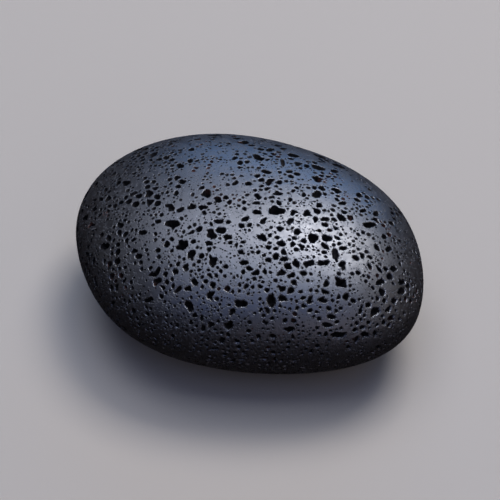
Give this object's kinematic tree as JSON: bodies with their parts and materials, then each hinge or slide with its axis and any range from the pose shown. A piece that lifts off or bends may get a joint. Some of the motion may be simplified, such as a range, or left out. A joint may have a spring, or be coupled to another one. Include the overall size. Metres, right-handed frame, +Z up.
{
  "type": "lava rock",
  "caption": "Flattened, egg-shaped pebble of polished dark basalt, pitted all over by open gas bubbles, with a small worn flat to rest on.",
  "frame": {"origin": "under the middle of the stone, on the plane that it rests on", "axes": "+X along the stone's length towards its narrower end, +Y across it towards the back, +Z up through its thickness"},
  "size_m": [0.0634, 0.0486, 0.0265],
  "materials": {
    "basalt": "satin polished skin with rough open pits"
  },
  "bodies": {
    "root": {"lava_stone": "basalt"}
  },
  "joints": []
}
